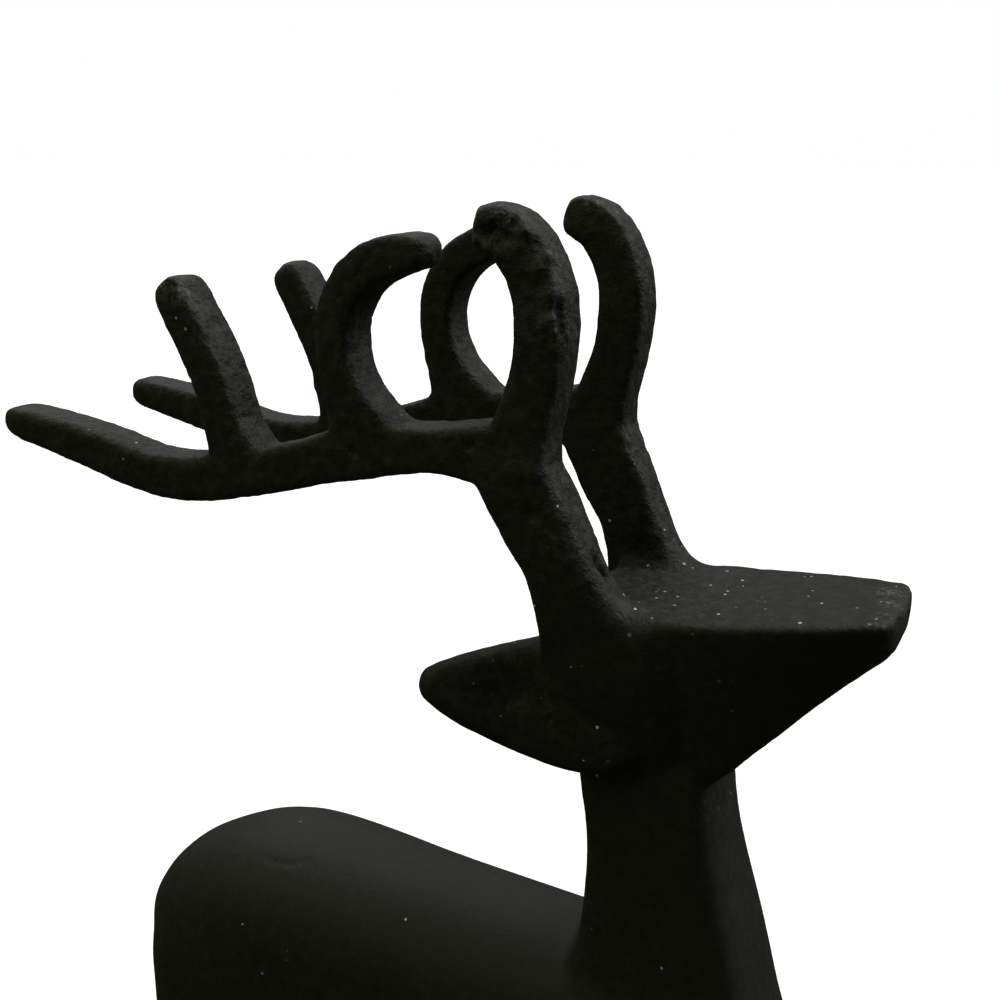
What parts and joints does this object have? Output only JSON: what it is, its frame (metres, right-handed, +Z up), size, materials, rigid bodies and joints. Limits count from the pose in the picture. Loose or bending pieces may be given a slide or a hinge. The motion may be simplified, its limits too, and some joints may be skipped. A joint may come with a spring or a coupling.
{
  "type": "cast iron stag statue",
  "caption": "Standing stylised stag with a wedge head, back-swept ears and flat looped antlers, cast in one with a low plate base.",
  "frame": {"origin": "middle of the base's flat underside", "axes": "+X toward the muzzle, +Y toward the stag's left side, +Z up"},
  "size_m": [0.2081, 0.072, 0.3199],
  "materials": {
    "cast_iron": "matte black sand-cast iron, rough on the antlers and smoother on the body"
  },
  "bodies": {
    "root": {"stag": "cast_iron"}
  },
  "joints": []
}
